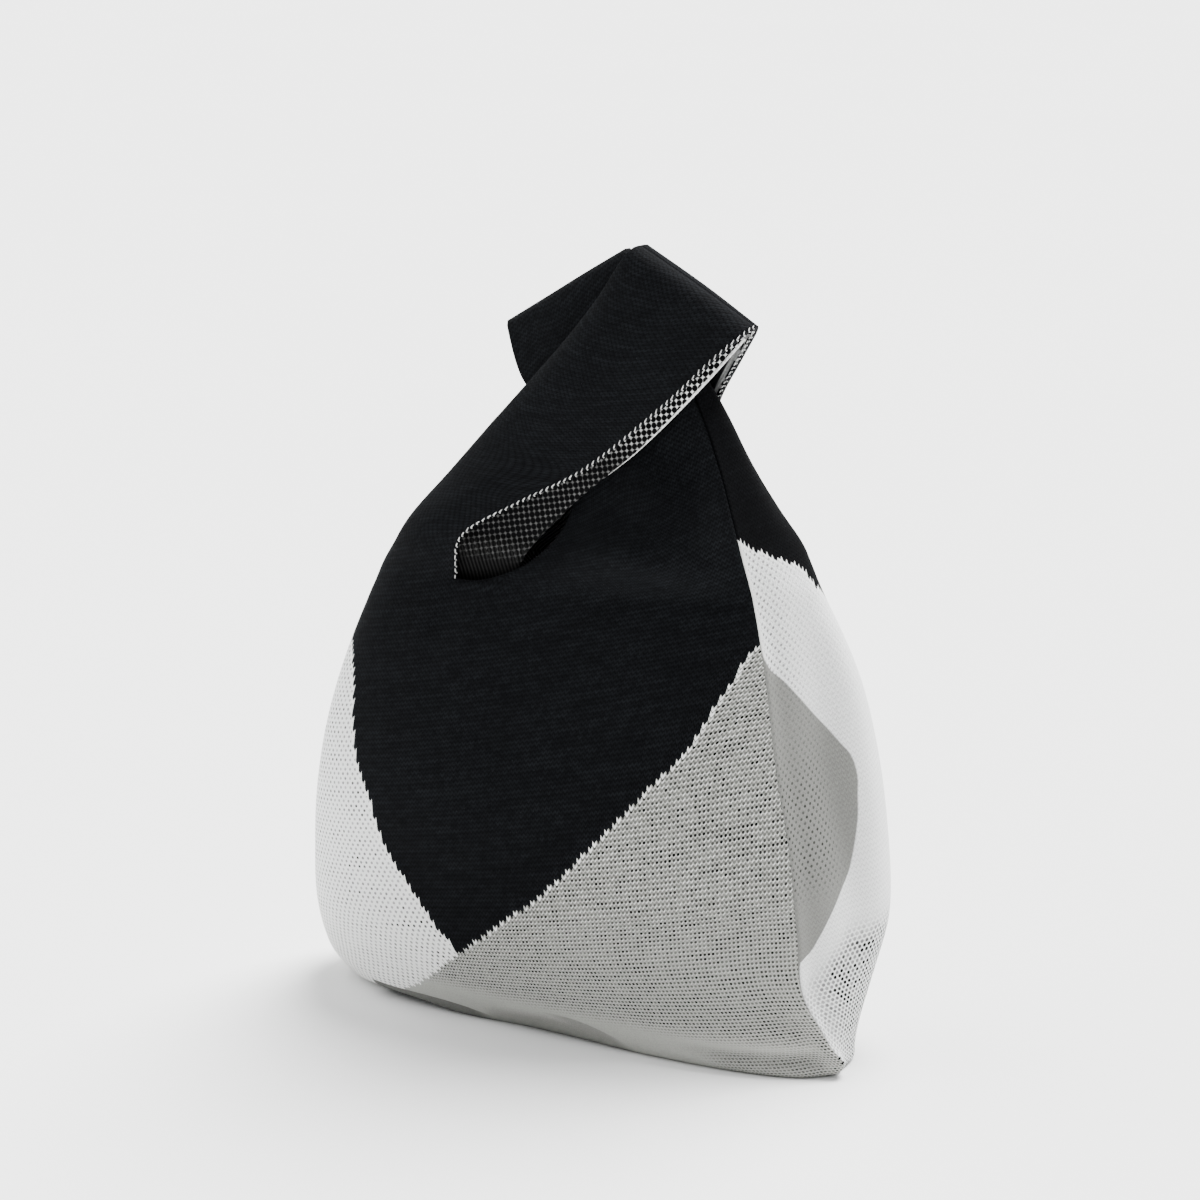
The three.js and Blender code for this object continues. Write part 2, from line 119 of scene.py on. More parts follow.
# The straps' rails, [x, y, height above the shoulder line], and where each rail meets the
# shoulder line in front and behind, in degrees round the body
LEFT_RAIL_PLACES = [
    [(-37.6, -21, 15), (-18, -18, 27.5), (6, -14.5, 41), (32.1, -10, 63), (45.5, -5, 77), (53.3, 0.5, 85),
     (54.7, 6, 87.2), (52, 12, 85), (43, 18, 74.5), (31.5, 25, 60), (23.5, 32.5, 46), (14, 38, 30),
     (0, 42, 17)],
    [(-54, -20.5, 16), (-36, -17.5, 31), (-13, -13.5, 48), (10, -9.5, 67), (24, -5, 83.5),
     (32.8, 0.5, 95.8), (34.4, 6, 98.2), (32.8, 13, 95.8), (27, 21, 80), (15, 27.5, 62), (-2, 34, 46),
     (-18, 34, 30), (-30, 33, 17)],
    [(-65, -10.5, 16), (-50.3, -8, 32.8), (-31, -6, 54), (-11, -3.5, 76), (1.7, -0.5, 92.5),
     (10.8, 1.5, 107), (12.4, 6.5, 109.2), (11.6, 12.5, 107), (2, 20, 91), (-13, 23.5, 72), (-31, 17, 54),
     (-48, 13, 33), (-58, 13, 16)],
]
RIGHT_RAIL_PLACES = [
    [(-9.5, -12, 13), (-4, -7, 25.5), (-6, -3, 40), (-14, 0.5, 52), (-30, 4, 63), (-38, 7, 78.5),
     (-39.2, 10.2, 80.3), (-38, 13, 78.5), (-29, 11, 66), (-15, 15, 55), (-1, 23, 40), (8, 34, 24),
     (14, 42, 12)],
    [(22, -15, 12.5), (24, -7.5, 25), (17, -2.5, 40), (2, 1, 54), (-13, 4, 72), (-22.7, 7, 87.5),
     (-24, 10.2, 89.4), (-23, 13.5, 87.5), (-13, 14.5, 72), (1, 18.5, 56), (14, 26, 40), (24, 37, 24),
     (30, 45, 12)],
    [(37, -6, 12), (36, -2, 24.5), (30, 2.5, 40.5), (19, 4, 57), (4, 5.5, 79), (-7.5, 7.2, 96.5),
     (-8.5, 10.3, 98.5), (-7.5, 14, 96.5), (8, 17, 80), (26, 21, 58.5), (35, 29, 40), (44, 36, 24),
     (50, 41, 12)],
    [(49, 9.5, 12), (45, 10, 24), (40, 10, 40.7), (33.6, 9, 58.4), (19.5, 8, 84), (7.8, 7.2, 104.8),
     (6.6, 10.3, 107.4), (6.3, 13.4, 104), (21, 14.5, 82), (36, 17.5, 59), (43.5, 22.5, 40), (50, 27, 24),
     (55.5, 32, 12)],
]
RIGHT_SEAM_TOP = SECTIONS[-1, SEAM]
LEFT_SEAM_TOP = RIGHT_SEAM_TOP - 180
LEFT_FRONT_ANGLES = [-122, -140, -172, LEFT_SEAM_TOP]
LEFT_BACK_ANGLES = [97, 118, LEFT_SEAM_TOP + 360]
RIGHT_FRONT_ANGLES = [-108, -78, -60, RIGHT_SEAM_TOP]
RIGHT_BACK_ANGLES = [60, 45, 18, RIGHT_SEAM_TOP + 28, RIGHT_SEAM_TOP]
RAIL_SPANS = 14
ROOT_LEVEL = 3
STRAP_TOP = 7
SIDE_CLOTH_TO = 6.2

# The left strap's turned-under layer: its free edge, and its hidden edge behind the strap
FACING_EDGE = [
    (-21, -12.5, -6), (-19.5, -12.8, 2), (-18, -13.5, 10), (0.2, -10.5, 29.5), (21.3, -7.5, 47.5),
    (41.1, -2.5, 69.0), (52.8, 3.8, 84.3)]
FACING_HIDDEN = [
    (-47, -16, -6), (-46.5, -16.5, 2), (-45, -17.5, 11), (-30, -13.5, 26), (-9, -10, 43), (16, -5, 71),
    (33.5, 4.8, 94.5)]

# Stitches: the width of a wale and the height of a course, and the wale at the front's middle
WALE = 1.4
COURSE = 1.62
MIDDLE_WALE = 83

# How far the courses climb for each millimetre across, at heights above the floor
CLIMB_HEIGHTS = [0, 30, 75, 125, 148]
FRONT_CLIMB = [0.15, 0.15, 0.19, 0.24, 0.25]
BACK_CLIMB = [0.08, 0.12, 0.22, 0.36, 0.4]
BACK_CLIMB_REACH = 80.0


def smooth_value(share, column):
    """A smooth curve through the sections' rows."""
    x, y = SECTIONS[:, SHARE], SECTIONS[:, column]
    slope = np.empty_like(y)
    slope[1:-1] = (y[2:] - y[:-2]) / (x[2:] - x[:-2])
    slope[0] = (y[1] - y[0]) / (x[1] - x[0])
    slope[-1] = (y[-1] - y[-2]) / (x[-1] - x[-2])
    k = np.clip(np.searchsorted(x, share) - 1, 0, len(x) - 2)
    step = x[k + 1] - x[k]
    t = np.clip((share - x[k]) / step, 0, 1)
    t2, t3 = t * t, t * t * t
    low = (2 * t3 - 3 * t2 + 1) * y[k] + (t3 - 2 * t2 + t) * step * slope[k]
    return low + (3 * t2 - 2 * t3) * y[k + 1] + (t3 - t2) * step * slope[k + 1]


def smooth_step(value, low, high):
    t = np.clip((value - low) / (high - low), 0, 1)
    return t * t * (3 - 2 * t)


def bump(value, width):
    return np.exp(-((value / width) ** 2))


def span(value, ends):
    """One inside a span and zero outside it, with soft ends."""
    start, full, fade, end = ends
    return smooth_step(value, start, full) * (1 - smooth_step(value, fade, end))


def run_length(line):
    """The length along a line of places, up to each of them."""
    return np.concatenate([[0], np.cumsum(np.linalg.norm(np.diff(line, axis=0), axis=1))])


def signed_power(value, power):
    return np.sign(value) * np.abs(value) ** power


def oval_point(share, angle):
    """The plain oval of the body at shares of its height and angles round it."""
    power = 2 / smooth_value(share, SQUARE)
    a = np.radians(angle)
    p = smooth_value(share, WIDTH) * signed_power(np.cos(a), power)
    q = smooth_value(share, DEPTH) * signed_power(np.sin(a), power)
    turn = np.radians(smooth_value(share, TURN))
    x = smooth_value(share, CENTRE_X) + p * np.cos(turn) - q * np.sin(turn)
    y = smooth_value(share, CENTRE_Y) + p * np.sin(turn) + q * np.cos(turn)
    return np.stack([x, y, share * SHOULDER_HEIGHT], -1)


def outward(share, angle):
    along = oval_point(share, angle + 0.5) - oval_point(share, angle - 0.5)
    flat = np.stack([along[..., 1], -along[..., 0], 0 * along[..., 0]], -1)
    return flat / np.linalg.norm(flat, axis=-1, keepdims=True)


def bottom_folds(height, past):
    """How far the front's lower cloth stands out or is tucked in, at heights and angles past the
    right seam: a ridge with a hollow below it at the right, and an arch that curls under."""
    def form(depth, middle, spread):
        return depth * bump(height - middle, spread)

    def tuck(depth, full, gone):
        return depth * (1 - smooth_step(height, full, gone))

    ridge = span(past, RIDGE_SPAN) * (form(*RIDGE) - form(*RIDGE_HOLLOW))
    arch = bump(past - ARCH_ANGLE, ARCH_WIDTH) * tuck(*ARCH_TUCK)
    left = span(past, LEFT_TUCK_SPAN) * tuck(*LEFT_TUCK)
    swell = sum(bump(past - angle, width) * form(*level) for angle, width, level in SWELLS)
    return ridge - (arch + left) + swell


def soft_waves(share, angle):
    """The slight unevenness of soft cloth."""
    a = np.radians(angle)
    waves = sum(size * np.sin(around * a + up * share + start) for size, around, up, start in WAVES)
    return WAVES_DEPTH * waves * smooth_step(share, *WAVES_RISE)


def body_point(share, angle):
    """The oval with the right side's fold, the dent behind it, the ear and the soft folds."""
    past = angle - smooth_value(share, SEAM)
    past = past - 360 * np.round(past / 360)
    height = share * SHOULDER_HEIGHT
    rise = np.sin(np.pi * np.clip((share - CREASE_START) / (CREASE_END - CREASE_START), 0, 1))
    width = np.where(past < 0, CREASE_FRONT_WIDTH, CREASE_BACK_WIDTH)
    fold = CREASE_HEIGHT * bump(past, width) * span(share, CREASE_SPAN)
    dent = DENT_DEPTH * bump(past - DENT_ANGLE, DENT_WIDTH) * rise * rise
    ear = EAR_OUT * bump(past, EAR_WIDTH) * bump(height - EAR_HEIGHT, EAR_SPREAD)
    middle = PLEAT_ANGLE + PLEAT_LEAN * (1 - share)
    pleat = PLEAT_DEPTH * bump(past - middle, PLEAT_WIDTH) * smooth_step(share, PLEAT_START, 1.0)
    low = bottom_folds(height, past) * span(past, FRONT_SPAN)
    out = fold - dent + ear - pleat + low + soft_waves(share, angle)
    return oval_point(share, angle) + outward(share, angle) * out[..., None]


def curve_through(points, place):
    """Places on smooth curves through points (count, rows, 3), counted along them by place."""
    points = np.asarray(points, float)
    full = np.concatenate([[2 * points[0] - points[1]], points, [2 * points[-1] - points[-2]]])
    k = np.clip(np.floor(place).astype(int), 0, len(points) - 2)
    u = (place - k)[..., None]
    row = np.arange(points.shape[1])[:, None]
    a, b, c, d = (full[k + step, row] for step in range(4))
    straight = 2 * b + (c - a) * u
    return 0.5 * (straight + (2 * a - 5 * b + 4 * c - d) * u ** 2 + (3 * b - a - 3 * c + d) * u ** 3)


def line_through(points, place):
    """Places on one smooth curve through a short list of points."""
    return curve_through(np.asarray(points, float)[:, None, :], np.asarray(place, float)[None, :])[0]


# The mouth's ends in front and behind, in degrees round the body, and the columns of faces on each
# panel before, along and after the mouth
MOUTH_FRONT = (-122, -108)
MOUTH_BACK = (60, 97)
FRONT_COLUMNS = (52, 10, 62)
BACK_COLUMNS = (54, 20, 54)
LOW_SHARES = [0, 0.002, 0.005, 0.009, 0.014, 0.02, 0.028, 0.037, 0.047, 0.058]
BODY_SHARES = np.concatenate([LOW_SHARES, np.linspace(0.07, 1, 87)])
UNDER_ROWS = 12

# How finely a row, a rail and the way across a strap are measured
ROW_STEPS = 721
RAIL_STEPS = 701
ACROSS_STEPS = 401


def row_lengths(share, first):
    """Angles along a panel's row, from one seam to the other, and the row's length up to each."""
    angle = smooth_value(share, SEAM) + first + np.linspace(0, 180, ROW_STEPS)
    return angle, run_length(body_point(np.full(ROW_STEPS, share), angle))


def row_places(share, first, parts):
    """The angles and lengths at shares of a panel's row, and its full length."""
    angle, length = row_lengths(share, first)
    return np.interp(parts * length[-1], length, angle), parts * length[-1], length[-1]


def panel_parts(first, mouth):
    """Shares of the way across a panel, with a column at each side of the mouth at the shoulder line."""
    angle, length = row_lengths(1.0, first)
    low, high = np.interp(mouth, angle, length / length[-1])
    counts = FRONT_COLUMNS if first < 0 else BACK_COLUMNS
    return np.concatenate([
        np.linspace(0, low, counts[0] + 1), np.linspace(low, high, counts[1] + 1)[1:],
        np.linspace(high, 1, counts[2] + 1)[1:]])


def stitches_at(first, arc, full, height):
    """Wale and course counts at a distance along a row of a panel and a height up its wall, and the
    distance to the right seam."""
    if first < 0:
        climb = np.interp(height, CLIMB_HEIGHTS, FRONT_CLIMB) * (arc - full / 2)
        wale = MIDDLE_WALE + (arc - full / 2) / WALE
        to_seam = full - arc
    else:
        eased = BACK_CLIMB_REACH * (1 - np.exp(-arc / BACK_CLIMB_REACH))
        climb = np.interp(height, CLIMB_HEIGHTS, BACK_CLIMB) * eased
        wale = arc / WALE
        to_seam = arc
    return np.stack(np.broadcast_arrays(wale, (height - climb) / COURSE, to_seam), -1)


def panel_grid(first, mouth):
    """A panel's outer face from the bottom fold up to the shoulder line, and its stitch counts."""
    parts = panel_parts(first, mouth)
    wall, arcs, fulls = [], [], []
    for share in BODY_SHARES:
        angle, arc, full = row_places(share, first, parts)
        wall.append(body_point(np.full(len(angle), share), angle))
        arcs.append(arc)
        fulls.append(full)
    left = body_point(np.array(0.0), SECTIONS[0, SEAM] + 180.0)
    right = body_point(np.array(0.0), SECTIONS[0, SEAM] + 0.0)
    rim = wall[0]
    along = np.clip((rim[:, 0] - left[0]) / (right[0] - left[0]), 0, 1)
    fold = left + along[:, None] * (right - left)
    under = [fold + (rim - fold) * k for k in np.arange(UNDER_ROWS) / UNDER_ROWS]
    places = np.concatenate([np.array(under), np.array(wall)])
    middle = places[:, len(parts) // 2]
    length = run_length(middle)
    height = (length - length[UNDER_ROWS])[:, None]
    arc = np.concatenate([np.repeat(arcs[:1], UNDER_ROWS, 0), arcs])
    full = np.concatenate([np.repeat(fulls[:1], UNDER_ROWS), fulls])[:, None]
    return places, stitches_at(first, arc, full, height)


def rails_of(places, front_angles, back_angles):
    """A strap's rails with their ends on the body's outline, as the cloth's middle layer."""
    def end(angle):
        at = np.array(1.0), np.array(float(angle))
        return body_point(*at) - outward(*at) * FABRIC / 2

    rails = []
    for index, line in enumerate(places):
        inside = [np.array((x, y, SHOULDER_HEIGHT + up), float) for x, y, up in line]
        rails.append(np.array([end(front_angles[index]), *inside, end(back_angles[index])]))
    return rails


LEFT_RAILS = rails_of(LEFT_RAIL_PLACES, LEFT_FRONT_ANGLES, LEFT_BACK_ANGLES)
RIGHT_RAILS = rails_of(RIGHT_RAIL_PLACES, RIGHT_FRONT_ANGLES, RIGHT_BACK_ANGLES)

# Half a strap's cloth: the spacing of its rows in millimetres, the steps of its rails in which it takes
# up the panel's edge and its wales, and the share of the side cloth's height from which it narrows
STRAP_ROW_SPACING = 1.7
EDGE_BLEND = 1.6
WALE_BLEND = 3
SIDE_NARROWS = 0.62


def rail_rows(rail):
    """Places along half a strap, from the shoulder line to the fold, with one where the root ends."""
    dense = np.linspace(0, STRAP_TOP, RAIL_STEPS)
    length = run_length(line_through(rail, dense))
    cut = np.interp(ROOT_LEVEL, dense, length)
    low = np.linspace(0, cut, int(cut / STRAP_ROW_SPACING) + 1)
    high = np.linspace(cut, length[-1], int((length[-1] - cut) / STRAP_ROW_SPACING) + 1)
    return np.interp(np.concatenate([low, high[1:]]), length, dense)


def strap_grid(rails, front, angles, side_to, columns, top, top_stitches, first_edge):
    """Half a strap's outer face, its stitch counts and its rows' places along the rails, from a panel's
    top row up to the fold. The angles are those of the rails' ends. With side_to, cloth round the
    body's side joins this half to the other half's outer rail, and narrows to nothing at that place
    along the rails. Wales are counted from the panel's first column, or else from its last."""
    near = rail_rows(rails[1])
    along = near if front else RAIL_SPANS - near
    lines = [line_through(rail, along) for rail in rails]
    widest = np.full(len(near), float(len(rails) - 1))
    if side_to:
        lines.append(line_through(rails[-1], RAIL_SPANS - along))
        widest += 1 - smooth_step(near, SIDE_NARROWS * side_to, side_to)
    dense = np.linspace(0, widest[0], ACROSS_STEPS)
    turned = curve_through(np.array(angles, float)[:, None, None], dense[None, :])[0, :, 0]
    order = np.argsort(turned)
    first_row = np.interp(columns, turned[order], dense[order])
    grid = curve_through(np.array(lines), (first_row / widest[0])[None, :] * widest[:, None])
    normal = np.cross(np.gradient(grid, axis=1), np.gradient(grid, axis=0))
    normal /= np.linalg.norm(normal, axis=-1, keepdims=True)
    outer = grid + normal * FABRIC / 2
    fade = 1 - smooth_step(near, 0, EDGE_BLEND)
    outer = outer + fade[:, None, None] * (top - outer[0])[None]
    up = np.cumsum(np.linalg.norm(np.diff(outer, axis=0, prepend=outer[:1]), axis=-1), axis=0) / COURSE
    over = np.cumsum(np.linalg.norm(np.diff(outer, axis=1, prepend=outer[:, :1]), axis=-1), axis=1) / WALE
    top_wale, top_course, to_seam = (top_stitches[None, :, k] for k in range(3))
    over = over + top_wale[:, :1] if first_edge else over - over[:, -1:] + top_wale[:, -1:]
    turn = smooth_step(near, 0, WALE_BLEND)[:, None]
    wale = over * turn + top_wale * (1 - turn)
    return outer, np.stack(np.broadcast_arrays(wale, up + top_course, to_seam), -1), near


def side_grids(front):
    """The grids of one side of the bag: its panel, and the halves of both straps that grow out of it."""
    first, mouth = (-180, MOUTH_FRONT) if front else (0, MOUTH_BACK)
    columns = FRONT_COLUMNS if front else BACK_COLUMNS
    panel, stitches = panel_grid(first, mouth)
    angle = row_places(1.0, first, panel_parts(first, mouth))[0]
    before, after = slice(0, columns[0] + 1), slice(columns[0] + columns[1], None)

    def strap(rails, angles, side_to, part):
        return strap_grid(rails, front, angles, side_to, angle[part], panel[-1][part], stitches[-1][part],
                          part is before)

    if front:
        left = strap(LEFT_RAILS, LEFT_FRONT_ANGLES, ROOT_LEVEL, before)
        right = strap(RIGHT_RAILS, RIGHT_FRONT_ANGLES, None, after)
    else:
        left = strap(LEFT_RAILS, LEFT_BACK_ANGLES, None, after)
        right = strap(RIGHT_RAILS, RIGHT_BACK_ANGLES, SIDE_CLOTH_TO, before)
    return {"panel": (panel, stitches), "left": left, "right": right}


def in_metres(places):
    return (places + SHIFT) * MM


# Objects and meshes

def put_in_scene(name, data):
    """A new object with its data, linked to the scene."""
    made = bpy.data.objects.new(name, data)
    bpy.context.scene.collection.objects.link(made)
    return made


def settled_mesh(maker, name):
    """An object's mesh with its curve or modifiers applied."""
    mesh = bpy.data.meshes.new_from_object(maker.evaluated_get(bpy.context.evaluated_depsgraph_get()))
    mesh.name = name
    return mesh


def mesh_of(bm, name):
    """A mesh from a bmesh, which it frees."""
    mesh = bpy.data.meshes.new(name)
    bm.to_mesh(mesh)
    bm.free()
    return mesh


def finish_piece(mesh, name, material):
    mesh.materials.append(material)
    mesh.shade_smooth()
    return put_in_scene(name, mesh)


def piece_of(bm, name, material):
    return finish_piece(mesh_of(bm, name), name, material)


# Turning grids into pieces of cloth

PANEL, STRAP, BASE, LOOP = range(4)
DOUBLES_WITHIN = 0.02

# In millimetres and passes: how far the free edge is rounded from the mouth's corner, and how far
# the cloth is evened out on both sides of the shoulder line
MOUTH_CORNER_REACH = 12
MOUTH_CORNER_PASSES = 60
MOUTH_CORNER_PULL = 0.6
SHOULDER_REACH = 9
SHOULDER_PASSES = 8


def add_grid(bm, places, stitches, region_of_row):
    """Adds a grid of faces at given places, in millimetres, with its stitch counts and its regions."""
    rows, columns = places.shape[:2]
    made = bmesh.ops.create_grid(bm, x_segments=columns - 1, y_segments=rows - 1, size=1.0)["verts"]
    stitch = bm.verts.layers.float_vector["stitch"]
    region = bm.faces.layers.int["region"]
    at = in_metres(places)
    faces = {}
    for vert in made:
        i = round((vert.co.x + 1) / 2 * (columns - 1))
        j = round((vert.co.y + 1) / 2 * (rows - 1))
        vert.co = at[j, i]
        vert[stitch] = stitches[j, i]
        for face in vert.link_faces:
            faces[face] = min(faces.get(face, rows), j)
    for face, row in faces.items():
        face[region] = region_of_row(row)


def start_cloth():
    bm = bmesh.new()
    bm.verts.layers.float_vector.new("stitch")
    bm.faces.layers.int.new("region")
    return bm


def finish_cloth(bm, name, materials, thickness, offset=-1.0):
    """Makes the grids one solid cloth, with its stitch counts as the UV map."""
    stitch = bm.verts.layers.float_vector["stitch"]
    uv = bm.loops.layers.uv.new("Knit")
    for face in bm.faces:
        face.smooth = True
        for loop in face.loops:
            loop[uv].uv = loop.vert[stitch][:2]
    mesh = mesh_of(bm, name)
    for material in materials:
        mesh.materials.append(material)
    piece = put_in_scene(name, mesh)
    solid = piece.modifiers.new("Cloth", "SOLIDIFY")
    solid.thickness = thickness * MM
    solid.offset = offset
    solid.use_even_offset = False
    solid.material_offset = len(materials) - 1
    settled = settled_mesh(piece, name)

    # The bottom's inner layer lies on the floor, not below it
    for vert in settled.vertices:
        vert.co.z = max(vert.co.z, 0.0)
    piece.modifiers.clear()
    piece.data = settled
    bpy.data.meshes.remove(mesh)
    return piece


def split_cloth(piece, parts):
    """Splits a cloth by its regions and keeps the whole cloth's smooth normals across the cuts."""
    whole = piece.data
    pieces = []
    for name, wanted in parts:
        bm = bmesh.new()
        bm.from_mesh(whole)
        shade = bm.verts.layers.float_vector.new("shade")
        for vert in bm.verts:
            vert[shade] = vert.normal
        region = bm.faces.layers.int["region"]
        away = [face for face in bm.faces if face[region] != wanted]
        bmesh.ops.delete(bm, geom=away, context="FACES")
        normals = [tuple(vert[shade]) for vert in bm.verts]
        mesh = mesh_of(bm, name)
        for material in whole.materials:
            mesh.materials.append(material)
        mesh.normals_split_custom_set_from_vertices(normals)
        for attribute in ("shade", "region"):
            mesh.attributes.remove(mesh.attributes[attribute])
        pieces.append(put_in_scene(name, mesh))
    bpy.data.objects.remove(piece)
    bpy.data.meshes.remove(whole)
    return pieces


def smooth_shoulder(bm):
    """Evens out the cloth across the shoulder line, and leaves its free edges where they are."""
    low, high = (SHOULDER_HEIGHT - SHOULDER_REACH) * MM, (SHOULDER_HEIGHT + SHOULDER_REACH) * MM
    chosen = [vert for vert in bm.verts if low < vert.co.z < high and not vert.is_boundary]
    for _ in range(SHOULDER_PASSES):
        bmesh.ops.smooth_vert(bm, verts=chosen, factor=0.5, use_axis_x=True, use_axis_y=True, use_axis_z=True)


def round_mouth_corner(bm, place):
    """Rounds the free edge near the place where the right strap's edge meets the mouth's lower edge."""
    corner = Vector(in_metres(place))
    chosen = []
    for vert in bm.verts:
        near = (vert.co - corner).length / (MOUTH_CORNER_REACH * MM)
        if vert.is_boundary and near < 1:
            beside = [edge.other_vert(vert) for edge in vert.link_edges if edge.is_boundary]
            chosen.append((vert, beside, MOUTH_CORNER_PULL * (1 - near)))
    for _ in range(MOUTH_CORNER_PASSES):
        moved = [(vert, (beside[0].co + beside[1].co) / 2, pull) for vert, beside, pull in chosen]
        for vert, middle, pull in moved:
            vert.co = vert.co.lerp(middle, pull)


def make_side(half, grids, materials):
    """One side of the bag: the panel's cloth with both straps' halves, split where the bodies part."""
    panel, stitches = grids["panel"]
    left, left_stitches, _ = grids["left"]
    right, right_stitches, right_along = grids["right"]
    cut = int(np.argmin(np.abs(right_along - ROOT_LEVEL)))
    bm = start_cloth()
    add_grid(bm, panel, stitches, lambda row: PANEL)
    add_grid(bm, left, left_stitches, lambda row: STRAP)
    add_grid(bm, right, right_stitches, lambda row: BASE if row < cut else LOOP)
    bmesh.ops.remove_doubles(bm, verts=bm.verts[:], dist=DOUBLES_WITHIN * MM)
    if half == "front":
        round_mouth_corner(bm, panel[-1, FRONT_COLUMNS[0] + FRONT_COLUMNS[1]])
    smooth_shoulder(bm)
    whole = finish_cloth(bm, f"{half}_knit", materials, FABRIC)
    return split_cloth(whole, (
        (f"{half}_panel_knit", PANEL), (f"left_strap_{half}_knit", STRAP),
        (f"right_strap_{half}_base_knit", BASE), (f"right_strap_{half}_knit", LOOP)))


# Materials

# Signs and words for what a Math node does with a value
SUMS = {
    "__add__": "ADD", "__sub__": "SUBTRACT", "__mul__": "MULTIPLY", "__truediv__": "DIVIDE",
    "__lt__": "LESS_THAN", "__gt__": "GREATER_THAN", "__abs__": "ABSOLUTE", "at_least": "MAXIMUM",
    "at_most": "MINIMUM", "floor": "FLOOR", "rounded": "ROUND", "fraction": "FRACT", "sine": "SINE",
    "root": "SQRT"}


class Value:
    """A number, place or colour that a material's nodes work out."""

    def __init__(self, shader, socket):
        self.shader = shader
        self.socket = socket

    def from_middle(self):
        """The distance from the middle of each whole step."""
        return abs(self.fraction() - 0.5)

    def ramp(self, low, high, to_low, to_high):
        """A smooth way from one result to another, between two values."""
        return self.shader.result("ShaderNodeMapRange", (self, low, high, to_low, to_high),
                                  interpolation_type="SMOOTHSTEP")

    def rise(self, low, high):
        return self.ramp(low, high, 0.0, 1.0)

    def fall(self, low, high):
        return self.ramp(low, high, 1.0, 0.0)

    def line(self, points, value_top, result_top):
        """A result read off a line of points, each (value, result)."""
        made = self.shader.node("ShaderNodeFloatCurve", {"Factor": 1.0, "Value": self / value_top})
        curve = made.mapping.curves[0]
        while len(curve.points) < len(points):
            curve.points.new(0.5, 0.5)
        for point, (at, result) in zip(curve.points, sorted(points)):
            point.location = (at / value_top, result / result_top)
            point.handle_type = "AUTO_CLAMPED"
        made.mapping.update()
        return Value(self.shader, made.outputs[0]) * result_top


def summed(operation):
    def added(self, *others):
        return self.shader.math(operation, self, *others)
    return added


for word, operation in SUMS.items():
    setattr(Value, word, summed(operation))


# The colour sockets of a Mix node, by number
MIX_FIRST, MIX_SECOND, MIX_RESULT = 6, 7, 2


class Shader:
    """Short calls for building one material's nodes."""

    def __init__(self, name):
        self.material = bpy.data.materials.new(name)
        self.material.use_nodes = True
        self.tree = self.material.node_tree
        self.tree.nodes.clear()

    def node(self, kind, inputs, **settings):
        """A new node with its settings and its inputs, in their order or by name or number."""
        made = self.tree.nodes.new(kind)
        for key, value in settings.items():
            setattr(made, key, value)
        for key, value in inputs.items() if isinstance(inputs, dict) else enumerate(inputs):
            if isinstance(value, Value):
                self.tree.links.new(value.socket, made.inputs[key])
            else:
                made.inputs[key].default_value = value
        return made

    def result(self, kind, inputs, **settings):
        """A new node's first output."""
        return Value(self, self.node(kind, inputs, **settings).outputs[0])

    def math(self, operation, *values):
        return self.result("ShaderNodeMath", values, operation=operation)

    def mix(self, factor, first, second):
        made = self.node("ShaderNodeMix", {0: factor, MIX_FIRST: first, MIX_SECOND: second}, data_type="RGBA")
        return Value(self, made.outputs[MIX_RESULT])

    def scale(self, colour, amount):
        return self.result("ShaderNodeVectorMath", {0: colour, "Scale": amount}, operation="SCALE")

    def vector(self, *values):
        return self.result("ShaderNodeCombineXYZ", values)

    def object_place(self):
        return Value(self, self.node("ShaderNodeTexCoord", ()).outputs["Object"])

    def stitch_counts(self):
        """The wale, the course and the distance to the right seam at each place of the cloth."""
        counts = self.node("ShaderNodeAttribute", (), attribute_name="stitch").outputs["Vector"]
        made = self.node("ShaderNodeSeparateXYZ", (Value(self, counts),))
        return [Value(self, part) for part in made.outputs]

    def height(self):
        """The height above the floor, in metres."""
        return Value(self, self.node("ShaderNodeSeparateXYZ", (self.object_place(),)).outputs[2])

    def white_noise(self, *values):
        return self.result("ShaderNodeTexWhiteNoise", (self.vector(*values),), noise_dimensions="3D")

    def noise(self, scale, detail, place=None):
        inputs = {"Vector": place or self.object_place(), "Scale": scale, "Detail": detail}
        return self.result("ShaderNodeTexNoise", inputs)

    def output(self, colour, roughness, specular, relief=None, bump=0.0, distance=0.0):
        inputs = {"Base Color": colour, "Roughness": roughness, "Specular IOR Level": specular}
        if relief:
            raised = {"Strength": bump, "Distance": distance, "Height": relief}
            inputs["Normal"] = self.result("ShaderNodeBump", raised)
        surface = self.result("ShaderNodeBsdfPrincipled", inputs)
        self.node("ShaderNodeOutputMaterial", {"Surface": surface})
        return self.material


# The blocks' edges as (course, wale) places, counted on the cloth itself
TOP_COURSE, TOP_WALE = 260.0, 200.0
WHITE_EDGE = [
    (0, 20), (11, 49.8), (15.9, 62.9), (21, 74.3), (22.6, 78.5), (29.2, 74.9), (35.1, 71.3), (40.9, 67.7),
    (48.4, 64), (57, 61.4), (65.2, 57.4), (73.4, 55.1), (84.5, 51.3), (95.1, 40.9), (104, 20), (112, 0)]
GREY_EDGE = [
    (0, 20), (11, 49.8), (15.9, 62.9), (21, 74.3), (23, 79.5), (26.9, 88.6), (31.4, 98.1), (35.1, 106),
    (38.2, 111.1), (45.6, 121.9), (52.2, 131.5), (59.5, 140.9), (62.6, 142.8), (68.3, 145), (71.7, 146.7),
    (75.1, 147.7), (79.1, 150.3), (90, 165), (110, 190)]
BACK_WHITE_EDGE = [
    (0, 20), (10.6, 51.5), (14.2, 62.1), (19.5, 73.9), (22, 79.5), (28.3, 75.6), (39.9, 69.1), (56.3, 60),
    (68, 50), (80, 36), (90.3, 24.7), (96.1, 17.9), (101, 14.4), (104.1, 10.3), (107.9, 5.2), (110.4, 1.7),
    (112.8, 0)]
